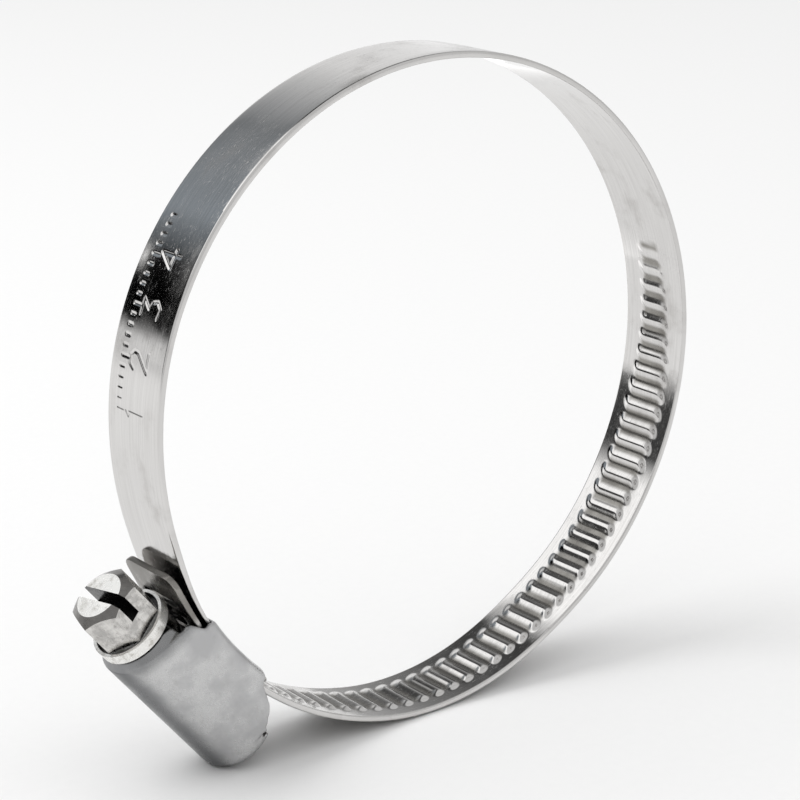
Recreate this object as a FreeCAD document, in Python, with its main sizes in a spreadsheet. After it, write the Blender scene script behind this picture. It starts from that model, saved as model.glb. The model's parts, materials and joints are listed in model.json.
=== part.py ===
"""Worm-drive hose clamp, 50 to 70 mm, with a 9 mm band, standing on its rim.

Every sub-part is drawn in one working frame: the ring's centre is the origin, +Y is the ring's
axis and the housing is straight below, with the screw lying along +X.  Angles around the ring are
counted from the housing, clockwise seen from -Y, so the plain strap leaves the housing at about
+9 degrees and the toothed strap comes back to it at about 349 degrees.  One rotation about +Y
then leans the whole clamp until the band and the housing's rear corner touch the same plane.
"""
import FreeCAD, Part
import math
import os

import Sketcher

doc = FreeCAD.newDocument("hose_clamp")
sheet = doc.addObject("Spreadsheet::Sheet", "Sizes")
Vector = FreeCAD.Vector
Y_AXIS = Vector(0, 1, 0)
NEAR = 0.01                     # how close a point must be to count as on a face
GROOVES_BEFORE_WORM = 45        # grooves between the start of the rack and the worm's middle
CRESTS_TO_MIDDLE = 3            # turns of thread between the worm's start and its middle


# ---------------------------------------------------------------- driving dimensions, millimetres
SIZES = {
    # band
    "band_width": 9.0,
    "band_thick": 0.65,
    "main_radius": 33.8,        # inner face of the plain strap, on which the hose sits
    "end_radius": 34.12,        # inner face of the strap's end inside the housing
    "rack_radius": 34.92,       # inner face of the toothed strap as it crosses the housing
    "flex_gap": 0.08,           # slit between band segments at a flex line
    "tongue_taper": 1.5,
    "tail_round": 1.3,
    "tail_plain": 1.2,          # degrees of plain strip before the tail's tip
    # thread
    "pitch": 2.1,
    "groove_width": 1.2,
    "groove_depth": 0.42,
    "groove_length": 5.6,
    "groove_clear": 1.0,        # how far the grooving tool starts above the strip
    # screw
    "screw_height": 38.8,       # screw axis below the ring's centre
    "worm_radius": 3.56,
    "core_radius": 2.55,
    "crest_width": 0.55,
    "root_width": 1.25,
    "thread_lead_in": 0.1,      # plain core before the thread starts
    "thread_run_out": 0.3,
    "thread_sink": 0.2,         # how far the thread's foot is sunk into the core
    "worm_start": -6.3,
    "worm_end": 9.2,
    "neck_radius": 2.4,
    "neck_cone": 0.15,
    "tip_cone": 0.6,
    "tip_radius": 1.3,
    "tip_chamfer": 0.25,
    "tip_inset": 0.1,           # tip behind the housing's rear face
    "collar_radius": 3.95,
    "collar_start": -9.0,
    "collar_end": -7.8,
    "dish_radius": 3.63,        # hollow in the collar's front face, round the hexagon
    "dish_depth": 0.6,
    "hex_flats": 6.2,
    "hex_start": -13.7,
    "hex_turn": 15.0,           # how far the hexagon is turned about its axis at rest
    "slot_width": 1.2,
    "slot_depth": 2.7,
    "slot_turn": -10.0,         # slot from the Y axis, across two flats
    "slot_reach": 6.0,          # past the head's corners
    "bevel_length": 0.75,       # cone on the head's corners at its end face
    "bevel_inset": 0.6,
    "bevel_slope": 1.5,
    "tool_clear": 1.0,          # how far a cutting tool starts outside the screw
    # housing
    "floor_radius": 33.64,      # bore side of the housing's floor, and the clamp's free bore
    "floor_thick": 0.36,        # pressed thinner than the sides
    "sheet_thick": 0.6,
    "barrel_radius": 4.45,
    "barrel_front": -7.6,
    "side_width": 10.5,
    "side_top": 36.2,           # where the straight side walls start to lean towards the barrel
    "blend_top": 39.9,
    "blend_width": 8.62,
    "saddle_front": -5.0,
    "saddle_rear": 4.9,
    "sides_rear": 9.4,          # side walls reach to here, just before the barrel's rounded end
    "saddle_low": 32.3,         # side walls are drawn up to here, past the bore that trims them
    "rear_foot": 34.5,          # heights and reaches where the sides' cut-back corners turn
    "rear_hip": 35.5,
    "rear_hip_reach": 7.4,
    "rear_heel": 37.4,
    "rear_heel_reach": 9.2,
    "front_toe": 34.7,
    "front_foot": 35.5,
    "front_heel": 37.6,
    "front_overhang": 0.1,
    "front_inset": 0.8,
    "corner_top": 30.0,         # far ends of the corner cuts
    "corner_clear": 2.0,
    "mouth_height": 36.6,       # top of the passage that the band runs through
    "passage_reach": 13.0,      # half its length, past both ends of the housing
    "room_low": 0.2,            # how far the worm's room overlaps the passage
    "room_high": 0.3,
    "neck_chamfer": 0.7,
    "neck_hole": 3.05,
    "neck_length": 1.1,
    "hole_clear": 1.0,          # how far the hole cutters start outside the sheet
    "tip_hole": 1.45,
    "rear_wall": 1.2,
    "corner_round": 2.0,        # rear end of the barrel is drawn down to a dome
    "edge_round": 1.0,
    # places around the ring, degrees from the housing
    "end_from": -11.5,          # a short tongue shows behind the housing
    "flex_a": 9.0,
    "flex_b": 130.5,
    "flex_c": 190.5,
    "flex_d": 312.0,
    "tail_tip": 378.5,
    "housing_at": 219.5,        # angle of the housing from +X once the clamp stands on its rim
}
size = dict(SIZES)
size["barrel_rear"] = 0.0
size["lean"] = 270.0 - size["housing_at"]


def barrel_rear_length():
    """Rear end of the barrel, so that its rounded corner and the band reach the same plane."""
    lean = math.radians(size["lean"])
    band_low = size["rack_radius"] + size["band_thick"]
    crown = size["screw_height"] + size["barrel_radius"] - size["corner_round"]
    reach = (band_low - size["corner_round"] - crown * math.cos(lean)) / math.sin(lean)
    return reach + size["corner_round"]


size["barrel_rear"] = round(barrel_rear_length(), 3)


def arc_through(start, end, radius_start, radius_end):
    """Circle through a slow spiral's start, middle and end: its centre, radius, from and span."""
    points = []
    for share in (0.0, 0.5, 1.0):
        angle = math.radians(start + share * (end - start))
        radius = radius_start + share * (radius_end - radius_start)
        points.append(Vector(-radius * math.sin(angle), 0, -radius * math.cos(angle)))
    circle = Part.Arc(*points).toShape().Curve
    towards_start = points[0] - circle.Center
    towards_end = points[2] - circle.Center
    begin = math.degrees(math.atan2(-towards_start.x, -towards_start.z))
    finish = math.degrees(math.atan2(-towards_end.x, -towards_end.z))
    return circle.Center, circle.Radius, begin, (finish - begin) % 360.0


def gap_angle(radius):
    """Half of the slit at a flex line, as an angle."""
    return math.degrees(size["flex_gap"] / 2.0 / radius)


# name: from, to, inner radius at each, half slit at each end
BAND = {
    "band_strap_end": ("end_from", "flex_a", "end_radius", "end_radius", 0, 1),
    "band_strap_lower": ("flex_a", "flex_b", "main_radius", "main_radius", 1, 1),
    "band_strap_upper": ("flex_b", "flex_c", "main_radius", "main_radius", 1, 1),
    "band_rack_side": ("flex_c", "flex_d", "main_radius", "rack_radius", 1, 1),
    "band_rack_tail": ("flex_d", "tail_tip", "rack_radius", "rack_radius", 1, 0),
}
segments = {}
for name, (start, end, r_start, r_end, slit_start, slit_end) in BAND.items():
    half_slit = gap_angle(size["main_radius"])
    begin = size[start] + slit_start * half_slit
    finish = size[end] - slit_end * half_slit
    segments[name] = arc_through(begin, finish, size[r_start], size[r_end])
    size[name + "_radius"] = round(segments[name][1], 4)
    size[name + "_span"] = round(segments[name][3], 4)

for row, (name, value) in enumerate(size.items(), start=1):
    sheet.set("A%d" % row, name)
    sheet.set("B%d" % row, "%.4f" % value)
    sheet.setAlias("B%d" % row, name)
doc.recompute()


# ---------------------------------------------------------------- helpers
def new_body(name):
    body = doc.addObject("PartDesign::Body", name)
    body.Label = name
    return body


def origin_feature(body, role):
    return next(item for item in body.Origin.OriginFeatures if item.Role == role)


def new_sketch(body, name, plane, offset=None):
    sketch = body.newObject("Sketcher::SketchObject", name)
    sketch.AttachmentSupport = (origin_feature(body, plane), [""])
    sketch.MapMode = "FlatFace"
    if offset is not None:
        sketch.AttachmentOffset = offset
    return sketch


def bind_constraint(sketch, constraint, formula):
    """Add a datum constraint and bind it to the sheet; a negative place is bound as negative."""
    index = sketch.addConstraint(constraint)
    sketch.setExpression("Constraints[%d]" % index, formula)
    return index


def add_polygon(sketch, corners):
    """Closed outline; each corner is (formula across, formula up), bound to the sheet."""
    places = []
    for across, up in corners:
        places.append(Vector(evaluate(across), evaluate(up), 0))
    count = len(places)
    for index in range(count):
        sketch.addGeometry(Part.LineSegment(places[index], places[(index + 1) % count]), False)
    for index in range(count):
        sketch.addConstraint(Sketcher.Constraint("Coincident", index, 2, (index + 1) % count, 1))
    for index, (across, up) in enumerate(corners):
        x_rule = Sketcher.Constraint("DistanceX", -1, 1, index, 1, places[index].x)
        y_rule = Sketcher.Constraint("DistanceY", -1, 1, index, 1, places[index].y)
        bind_constraint(sketch, x_rule, across)
        bind_constraint(sketch, y_rule, up)


def add_circle(sketch, radius, up="0"):
    """Circle on the sketch's vertical axis, bound to the sheet."""
    centre = Vector(0, evaluate(up), 0)
    index = sketch.addGeometry(Part.Circle(centre, Vector(0, 0, 1), evaluate(radius)), False)
    bind_constraint(sketch, Sketcher.Constraint("Radius", index, evaluate(radius)), radius)
    sketch.addConstraint(Sketcher.Constraint("PointOnObject", index, 3, -2))
    if evaluate(up):
        rule = Sketcher.Constraint("DistanceY", -1, 1, index, 3, evaluate(up))
        bind_constraint(sketch, rule, up)
    else:
        sketch.addConstraint(Sketcher.Constraint("PointOnObject", index, 3, -1))


def evaluate(formula):
    """Value of a formula over the sheet's aliases."""
    probe = sheet.evalExpression(formula.replace("Sizes.", ""))
    return float(getattr(probe, "Value", probe))


def pad(body, sketch, name, length, midplane=False, reverse=False, pocket=False):
    kind = "PartDesign::Pocket" if pocket else "PartDesign::Pad"
    before = body.Tip.Shape.Volume if body.Tip and body.Tip.isDerivedFrom("PartDesign::Feature") else 0.0
    feature = body.newObject(kind, name)
    feature.Profile = sketch
    feature.Midplane = midplane
    feature.Reversed = reverse
    feature.setExpression("Length", length)
    doc.recompute()
    grown = feature.Shape.Volume - before
    if (grown >= 0.0) if pocket else (grown <= 0.0):
        raise RuntimeError("%s changes nothing" % name)
    return feature


def edges_where(feature, test):
    """Names of the feature's edges whose every vertex passes the test."""
    names = []
    for index, edge in enumerate(feature.Shape.Edges, start=1):
        if all(test(vertex.Point) for vertex in edge.Vertexes):
            names.append("Edge%d" % index)
    return names


def along_x(place):
    """Attachment offset that moves a YZ sketch along the screw's axis."""
    return FreeCAD.Placement(Vector(0, 0, place), FreeCAD.Rotation())


# ---------------------------------------------------------------- band
def build_band_segment(name, first_groove_at=None, grooves=0, dressing=None):
    """One stretch of the band: its section turned about the segment's own centre."""
    centre, radius, begin, span = segments[name]
    body = new_body(name)
    section = new_sketch(body, name + "_section", "XY_Plane")
    inner = "Sizes.%s_radius" % name
    outer = inner + " + Sizes.band_thick"
    half = "Sizes.band_width / 2"
    corners = [(inner, "-" + half), (outer, "-" + half), (outer, half), (inner, half)]
    add_polygon(section, corners)
    strip = body.newObject("PartDesign::Revolution", name + "_strip")
    strip.Profile = section
    strip.ReferenceAxis = (origin_feature(body, "Y_Axis"), [""])
    strip.setExpression("Angle", "Sizes.%s_span" % name)
    doc.recompute()
    if dressing:
        dress_end(body, name, strip, dressing, span)
    if grooves:
        cut_grooves(body, name, first_groove_at - begin, grooves)
    # +X of the drawing is turned to the segment's start; +90 takes it from the right to below
    turn = FreeCAD.Rotation(Y_AXIS, 90.0 + begin)
    place_leaning(body, FreeCAD.Placement(centre, turn))
    return body


def dress_end(body, name, strip, dressing, span):
    """Taper the strip's first end or round its last one, at both corners."""
    kind, size_name, at_end = dressing
    angle = math.radians(span if at_end else 0.0)
    outward = Vector(math.cos(angle), 0, -math.sin(angle))
    along = Vector(-math.sin(angle), 0, -math.cos(angle))

    def on_end_corner(point):
        flat = Vector(point.x, 0, point.z)
        return abs(flat.dot(along)) < NEAR and flat.dot(outward) > 0.0

    corners = []
    for edge_name in edges_where(strip, on_end_corner):
        sides = [vertex.Point.y for vertex in strip.getSubObject(edge_name).Vertexes]
        if abs(sides[0] - sides[1]) < NEAR:
            corners.append(edge_name)
    feature = body.newObject("PartDesign::" + kind, name + "_corners")
    feature.Base = (strip, corners)
    feature.setExpression("Size" if kind == "Chamfer" else "Radius", "Sizes." + size_name)
    doc.recompute()


def cut_grooves(body, name, start, count):
    """Grooves pressed into the outer face for the worm, slanted like its thread."""
    helix = math.degrees(math.atan(size["pitch"] / (2.0 * math.pi * size["worm_radius"])))
    turn = FreeCAD.Rotation(Y_AXIS, start)
    slant = FreeCAD.Rotation(Vector(1, 0, 0), helix)
    upright = FreeCAD.Rotation(Vector(1, 0, 0), 90)
    plane = FreeCAD.Placement(Vector(), turn * slant * upright)
    sketch = body.newObject("Sketcher::SketchObject", name + "_groove_outline")
    sketch.AttachmentSupport = (origin_feature(body, "XY_Plane"), [""])
    sketch.MapMode = "FlatFace"
    sketch.AttachmentOffset = plane
    floor = "Sizes.%s_radius + Sizes.band_thick - Sizes.groove_depth" % name
    above = "Sizes.%s_radius + Sizes.band_thick + Sizes.groove_clear" % name
    half = "Sizes.groove_width / 2"
    add_polygon(sketch, [(floor, "-" + half), (above, "-" + half), (above, half), (floor, half)])
    groove = pad(body, sketch, name + "_groove", "Sizes.groove_length", midplane=True, pocket=True)
    before = groove.Shape.Volume
    pattern = body.newObject("PartDesign::PolarPattern", name + "_grooves")
    pattern.Originals = [groove]
    pattern.Axis = (origin_feature(body, "Y_Axis"), [""])
    pattern.Occurrences = count
    pattern.Angle = (count - 1) * groove_step()
    body.Tip = pattern
    doc.recompute()
    if pattern.Shape.Volume >= before:
        raise RuntimeError(name + " grooves are missing")


def groove_step():
    """Angle between grooves: one turn of the worm."""
    return math.degrees(size["pitch"] / (size["rack_radius"] + size["band_thick"] / 2.0))


def first_groove():
    """Angle of the first groove, so that a worm crest stands in the middle of a groove at rest."""
    first_crest = size["worm_start"] + size["thread_lead_in"] + size["root_width"] / 2.0
    middle_crest = first_crest + CRESTS_TO_MIDDLE * size["pitch"]
    crest_at = 360.0 - math.degrees(middle_crest / (size["rack_radius"] + size["band_thick"] / 2.0))
    return crest_at - GROOVES_BEFORE_WORM * groove_step()


def grooves_between(first, limit):
    """How many grooves fit from the first one to a limit, leaving half a groove of plain strip."""
    margin = math.degrees(size["groove_width"] / size["rack_radius"])
    return int((limit - margin - first) / groove_step()) + 1


def place_leaning(body, placement):
    """Place a sub-part in the working frame, then lean it with the whole clamp."""
    lean = FreeCAD.Placement(Vector(), FreeCAD.Rotation(Y_AXIS, size["lean"]))
    body.Placement = lean.multiply(placement)


# ---------------------------------------------------------------- housing
def build_housing():
    """Pressed sheet housing: barrel over the worm, sides and a curved floor around the band."""
    body = new_body("housing")
    axis = "-Sizes.screw_height"
    barrel_length = "Sizes.barrel_rear - Sizes.barrel_front"
    across_housing = "Sizes.side_width + Sizes.corner_clear"

    sketch = new_sketch(body, "barrel_outline", "YZ_Plane", along_x(size["barrel_front"]))
    add_circle(sketch, "Sizes.barrel_radius", axis)
    barrel = pad(body, sketch, "barrel", barrel_length)

    ends = edges_where(barrel, lambda point: point.x > size["barrel_rear"] - NEAR)
    rounding = body.newObject("PartDesign::Fillet", "rear_round")
    rounding.Base = (barrel, ends)
    rounding.setExpression("Radius", "Sizes.corner_round")
    doc.recompute()
    ends = edges_where(rounding, lambda point: point.x < size["barrel_front"] + NEAR)
    lead = body.newObject("PartDesign::Chamfer", "front_neck")
    lead.Base = (rounding, ends)
    lead.setExpression("Size", "Sizes.neck_chamfer")
    doc.recompute()

    # side walls reach past the floor, which the bore cuts off afterwards
    sides_from = size["barrel_front"] + size["neck_chamfer"]
    sketch = new_sketch(body, "side_outline", "YZ_Plane", along_x(sides_from))
    deep = "-Sizes.saddle_low"
    foot = "-Sizes.side_top"
    knee = "-Sizes.blend_top"
    half_side = "Sizes.side_width / 2"
    half_blend = "Sizes.blend_width / 2"
    corners = [("-" + half_side, deep), ("-" + half_side, foot), ("-" + half_blend, knee),
               (half_blend, knee), (half_side, foot), (half_side, deep)]
    add_polygon(sketch, corners)
    pad(body, sketch, "sides", "Sizes.sides_rear - Sizes.barrel_front - Sizes.neck_chamfer")

    # lower corners cut back: the saddle is shorter than the barrel
    sketch = new_sketch(body, "rear_corner_outline", "XZ_Plane")
    top = "-Sizes.corner_top"
    behind = "Sizes.barrel_rear + Sizes.corner_clear"
    before = "Sizes.barrel_front - Sizes.corner_clear"
    add_polygon(sketch, [("Sizes.saddle_rear", top), ("Sizes.saddle_rear", "-Sizes.rear_foot"),
                         ("Sizes.rear_hip_reach", "-Sizes.rear_hip"),
                         ("Sizes.rear_heel_reach", "-Sizes.rear_heel"),
                         (behind, "-Sizes.rear_heel"), (behind, top)])
    pad(body, sketch, "rear_corner", across_housing, midplane=True, pocket=True)
    sketch = new_sketch(body, "front_corner_outline", "XZ_Plane")
    add_polygon(sketch, [("Sizes.saddle_front", top), (before, top), (before, "-Sizes.front_heel"),
                         ("Sizes.barrel_front + Sizes.front_overhang", "-Sizes.front_heel"),
                         ("Sizes.barrel_front + Sizes.front_inset", "-Sizes.front_foot"),
                         ("Sizes.saddle_front", "-Sizes.front_toe")])
    pad(body, sketch, "front_corner", across_housing, midplane=True, pocket=True)

    # free bore, concentric with the ring
    sketch = new_sketch(body, "bore_outline", "XZ_Plane")
    add_circle(sketch, "Sizes.floor_radius")
    bore = pad(body, sketch, "bore", across_housing, midplane=True, pocket=True)

    def on_rim(point):
        on_side = abs(abs(point.y) - size["side_width"] / 2.0) < NEAR
        return on_side and math.hypot(point.x, point.z) < size["floor_radius"] + NEAR

    rims = edges_where(bore, on_rim)
    rounding = body.newObject("PartDesign::Fillet", "rim_round")
    rounding.Base = (bore, rims)
    rounding.setExpression("Radius", "Sizes.edge_round")
    doc.recompute()

    # passage for the two layers of band, open at both ends
    sketch = new_sketch(body, "passage_outline", "XZ_Plane")
    add_passage(sketch)
    pad(body, sketch, "passage", "Sizes.side_width - 2 * Sizes.sheet_thick", midplane=True, pocket=True)

    # room for the worm
    inside = size["barrel_front"] + size["neck_length"]
    cavity_length = barrel_length + " - Sizes.neck_length - Sizes.rear_wall"
    sketch = new_sketch(body, "worm_room_outline", "YZ_Plane", along_x(inside))
    add_circle(sketch, "Sizes.barrel_radius - Sizes.sheet_thick", axis)
    pad(body, sketch, "worm_room", cavity_length, reverse=True, pocket=True)
    sketch = new_sketch(body, "shoulder_outline", "YZ_Plane", along_x(inside))
    inner_side = "(Sizes.side_width / 2 - Sizes.sheet_thick)"
    inner_blend = "(Sizes.blend_width / 2 - Sizes.sheet_thick)"
    low = "-(Sizes.mouth_height - Sizes.room_low)"
    high = "-(Sizes.blend_top - Sizes.room_high)"
    corners = [("-" + inner_side, low), ("-" + inner_blend, high),
               (inner_blend, high), (inner_side, low)]
    add_polygon(sketch, corners)
    pad(body, sketch, "shoulder_room", cavity_length, reverse=True, pocket=True)

    # openings for the screw's neck and for its tip
    cut_from = size["barrel_front"] - size["hole_clear"]
    sketch = new_sketch(body, "neck_hole_outline", "YZ_Plane", along_x(cut_from))
    add_circle(sketch, "Sizes.neck_hole", axis)
    neck_cut = "Sizes.neck_length + 2 * Sizes.hole_clear"
    pad(body, sketch, "neck_hole_cut", neck_cut, reverse=True, pocket=True)
    cut_from = size["barrel_rear"] - size["rear_wall"] - size["hole_clear"]
    sketch = new_sketch(body, "tip_hole_outline", "YZ_Plane", along_x(cut_from))
    add_circle(sketch, "Sizes.tip_hole", axis)
    tip_cut = "Sizes.rear_wall + 2 * Sizes.hole_clear"
    pad(body, sketch, "tip_hole_cut", tip_cut, reverse=True, pocket=True)

    place_leaning(body, FreeCAD.Placement())
    return body


def add_passage(sketch):
    """Band passage seen from the side: from the floor's curved upper face to the worm."""
    floor_top = size["floor_radius"] + size["floor_thick"]
    reach = size["passage_reach"]
    lift = -math.sqrt(floor_top ** 2 - reach ** 2)
    top = -size["mouth_height"]
    left_low = Vector(-reach, lift, 0)
    right_low = Vector(reach, lift, 0)
    right_top = Vector(reach, top, 0)
    left_top = Vector(-reach, top, 0)
    arc = Part.Arc(left_low, Vector(0, -floor_top, 0), right_low)
    sketch.addGeometry(arc, False)
    sketch.addGeometry(Part.LineSegment(right_low, right_top), False)
    sketch.addGeometry(Part.LineSegment(right_top, left_top), False)
    sketch.addGeometry(Part.LineSegment(left_top, left_low), False)
    sketch.addConstraint(Sketcher.Constraint("Coincident", 0, 2, 1, 1))
    sketch.addConstraint(Sketcher.Constraint("Coincident", 1, 2, 2, 1))
    sketch.addConstraint(Sketcher.Constraint("Coincident", 2, 2, 3, 1))
    sketch.addConstraint(Sketcher.Constraint("Coincident", 3, 2, 0, 1))
    sketch.addConstraint(Sketcher.Constraint("Coincident", 0, 3, -1, 1))
    sketch.addConstraint(Sketcher.Constraint("Vertical", 1))
    sketch.addConstraint(Sketcher.Constraint("Horizontal", 2))
    sketch.addConstraint(Sketcher.Constraint("Vertical", 3))
    rule = Sketcher.Constraint("Radius", 0, floor_top)
    bind_constraint(sketch, rule, "Sizes.floor_radius + Sizes.floor_thick")
    rule = Sketcher.Constraint("DistanceY", -1, 1, 2, 1, top)
    bind_constraint(sketch, rule, "-Sizes.mouth_height")
    rule = Sketcher.Constraint("DistanceX", -1, 1, 1, 1, reach)
    bind_constraint(sketch, rule, "Sizes.passage_reach")
    rule = Sketcher.Constraint("DistanceX", -1, 1, 3, 1, -reach)
    bind_constraint(sketch, rule, "-Sizes.passage_reach")


# ---------------------------------------------------------------- screw
def build_screw():
    """Hexagon head with a slot, dished collar, neck, worm thread and tip, about its own axis."""
    body = new_body("worm_screw")
    sketch = new_sketch(body, "turned_outline", "XZ_Plane")
    tip_end = "Sizes.barrel_rear - Sizes.tip_inset"
    dish_floor = "Sizes.collar_start + Sizes.dish_depth"
    corners = [
        (dish_floor, "0"),
        (dish_floor, "Sizes.dish_radius"),
        ("Sizes.collar_start", "Sizes.dish_radius"),
        ("Sizes.collar_start", "Sizes.collar_radius"),
        ("Sizes.collar_end", "Sizes.collar_radius"),
        ("Sizes.collar_end", "Sizes.neck_radius"),
        ("Sizes.worm_start - Sizes.neck_cone", "Sizes.neck_radius"),
        ("Sizes.worm_start", "Sizes.core_radius"),
        ("Sizes.worm_end", "Sizes.core_radius"),
        ("Sizes.worm_end + Sizes.tip_cone", "Sizes.tip_radius"),
        (tip_end + " - Sizes.tip_chamfer", "Sizes.tip_radius"),
        (tip_end, "Sizes.tip_radius - Sizes.tip_chamfer"),
        (tip_end, "0"),
    ]
    add_polygon(sketch, corners)
    turned = body.newObject("PartDesign::Revolution", "turned")
    turned.Profile = sketch
    turned.ReferenceAxis = (origin_feature(body, "X_Axis"), [""])
    turned.Angle = 360
    doc.recompute()

    # thread: a trapezoid swept along the worm, sunk a little into the core
    sketch = new_sketch(body, "thread_outline", "XZ_Plane")
    start = "Sizes.worm_start + Sizes.thread_lead_in"
    sunk = "Sizes.core_radius - Sizes.thread_sink"
    middle = "(%s + Sizes.root_width / 2)" % start
    corners = [(start, sunk), (start + " + Sizes.root_width", sunk),
               (middle + " + Sizes.crest_width / 2", "Sizes.worm_radius"),
               (middle + " - Sizes.crest_width / 2", "Sizes.worm_radius")]
    add_polygon(sketch, corners)
    thread = body.newObject("PartDesign::AdditiveHelix", "thread")
    thread.Profile = sketch
    thread.ReferenceAxis = (origin_feature(body, "X_Axis"), [""])
    thread.Mode = 0
    thread.setExpression("Pitch", "Sizes.pitch")
    thread_length = "Sizes.worm_end - Sizes.worm_start - Sizes.root_width - Sizes.thread_run_out"
    thread.setExpression("Height", thread_length)
    doc.recompute()
    if thread.Shape.Volume <= turned.Shape.Volume:
        raise RuntimeError("the worm has no thread")

    sketch = new_sketch(body, "hexagon", "YZ_Plane", along_x(size["hex_start"]))
    add_hexagon(sketch)
    head = pad(body, sketch, "head", dish_floor + " - Sizes.hex_start")

    # the head's corners are turned down to a cone at its end face
    sketch = new_sketch(body, "head_bevel_outline", "XZ_Plane")
    face_radius = "Sizes.hex_flats / 2 - Sizes.bevel_inset"
    cone_radius = face_radius + " + Sizes.bevel_length * Sizes.bevel_slope"
    before = "Sizes.hex_start - Sizes.tool_clear"
    add_polygon(sketch, [(before, face_radius + " - Sizes.tool_clear * Sizes.bevel_slope"),
                         ("Sizes.hex_start", face_radius),
                         ("Sizes.hex_start + Sizes.bevel_length", cone_radius),
                         (before, cone_radius)])
    bevel = body.newObject("PartDesign::Groove", "head_bevel")
    bevel.Profile = sketch
    bevel.ReferenceAxis = (origin_feature(body, "X_Axis"), [""])
    bevel.Angle = 360
    doc.recompute()
    if bevel.Shape.Volume >= head.Shape.Volume:
        raise RuntimeError("the head has no bevel")

    turn = FreeCAD.Rotation(Vector(0, 0, 1), size["slot_turn"])
    place = FreeCAD.Placement(Vector(0, 0, size["hex_start"] - size["tool_clear"]), turn)
    sketch = new_sketch(body, "slot_outline", "YZ_Plane", place)
    half = "Sizes.slot_width / 2"
    reach = "Sizes.slot_reach"
    add_polygon(sketch, [("-" + reach, "-" + half), (reach, "-" + half), (reach, half), ("-" + reach, half)])
    pad(body, sketch, "slot", "Sizes.slot_depth + Sizes.tool_clear", reverse=True, pocket=True)

    place_leaning(body, FreeCAD.Placement(Vector(0, 0, -size["screw_height"]), FreeCAD.Rotation()))
    return body


def add_hexagon(sketch):
    """Regular hexagon about the screw's axis; its first corner is at hex_turn."""
    corners = []
    for index in range(6):
        angle = "(Sizes.hex_turn + %d) * 1deg" % (60 * index)
        corner = "Sizes.hex_flats / sqrt(3) * %s(" + angle + ")"
        corners.append((corner % "cos", corner % "sin"))
    add_polygon(sketch, corners)


# ---------------------------------------------------------------- build, check, write
side_first = first_groove()
side_grooves = grooves_between(side_first, size["flex_d"])
tail_first = side_first + side_grooves * groove_step()
tail_grooves = grooves_between(tail_first, size["tail_tip"] - size["tail_plain"])

parts = [
    build_housing(),
    build_screw(),
    build_band_segment("band_strap_end", dressing=("Chamfer", "tongue_taper", False)),
    build_band_segment("band_strap_lower"),
    build_band_segment("band_strap_upper"),
    build_band_segment("band_rack_side", side_first, side_grooves),
    build_band_segment("band_rack_tail", tail_first, tail_grooves, ("Fillet", "tail_round", True)),
]
doc.recompute()

for item in doc.Objects:
    if "Invalid" in item.State or "Error" in item.State:
        raise RuntimeError("%s failed: %s" % (item.Name, item.State))
for part in parts:
    if part.Shape.isNull() or not part.Shape.isValid():
        raise RuntimeError("%s has no valid shape" % part.Label)
    if len(part.Shape.Solids) != 1:
        raise RuntimeError("%s is not one solid" % part.Label)

os.makedirs("parts", exist_ok=True)
for part in parts:
    part.Shape.exportStep("parts/%s.step" % part.Label)
    box = part.Shape.BoundBox
    print("%-18s volume %8.2f  x %7.2f %7.2f  y %6.2f %6.2f  z %7.2f %7.2f" % (
        part.Label, part.Shape.Volume, box.XMin, box.XMax, box.YMin, box.YMax, box.ZMin, box.ZMax))
print("barrel rear %.3f, grooves %d + %d" % (size["barrel_rear"], side_grooves, tail_grooves))
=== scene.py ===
import json
import math

import bpy
import numpy as np
from mathutils import Matrix, Vector


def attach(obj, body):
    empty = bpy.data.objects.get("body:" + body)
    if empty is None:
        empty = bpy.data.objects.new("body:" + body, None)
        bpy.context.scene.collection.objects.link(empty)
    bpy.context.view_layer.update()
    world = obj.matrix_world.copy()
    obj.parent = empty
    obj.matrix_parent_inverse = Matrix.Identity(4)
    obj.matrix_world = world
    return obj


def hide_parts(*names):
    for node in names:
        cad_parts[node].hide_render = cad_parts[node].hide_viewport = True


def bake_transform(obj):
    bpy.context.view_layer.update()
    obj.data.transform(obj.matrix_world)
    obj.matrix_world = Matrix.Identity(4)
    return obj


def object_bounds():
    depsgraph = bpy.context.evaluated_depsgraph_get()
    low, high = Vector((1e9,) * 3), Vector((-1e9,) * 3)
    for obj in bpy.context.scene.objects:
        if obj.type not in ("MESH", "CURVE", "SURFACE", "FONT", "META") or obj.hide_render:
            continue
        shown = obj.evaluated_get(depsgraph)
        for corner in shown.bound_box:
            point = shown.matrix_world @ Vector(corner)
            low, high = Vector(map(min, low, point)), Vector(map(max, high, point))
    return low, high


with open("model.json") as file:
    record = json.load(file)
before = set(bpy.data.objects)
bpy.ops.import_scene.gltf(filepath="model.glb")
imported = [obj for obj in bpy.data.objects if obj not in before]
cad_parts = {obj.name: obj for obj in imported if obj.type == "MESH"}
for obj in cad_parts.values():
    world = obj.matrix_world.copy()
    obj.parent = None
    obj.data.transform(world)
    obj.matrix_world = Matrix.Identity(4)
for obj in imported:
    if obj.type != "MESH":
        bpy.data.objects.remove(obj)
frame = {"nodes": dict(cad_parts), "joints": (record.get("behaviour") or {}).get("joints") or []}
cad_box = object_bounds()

# The strip is drawn in millimetres around the ring: "psi" is the angle in degrees from the housing,
# clockwise seen from -Y, and "across" runs along Y.  Everything is turned into metres by MM.
MM = 0.001
JOINTS = {joint["name"]: joint for joint in frame["joints"]}

SCREW_AXIS = Vector(JOINTS["screw_turn"]["axis"])
SCREW_POINT = Vector(JOINTS["screw_turn"]["pos_m"])
OUTWARD = Vector((SCREW_AXIS.z, 0.0, -SCREW_AXIS.x))      # from the ring's centre to the screw
LEAN = math.degrees(math.atan2(-SCREW_AXIS.z, SCREW_AXIS.x))
FLOOR_Z = min(cad_box[0][2], cad_box[1][2])

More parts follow.
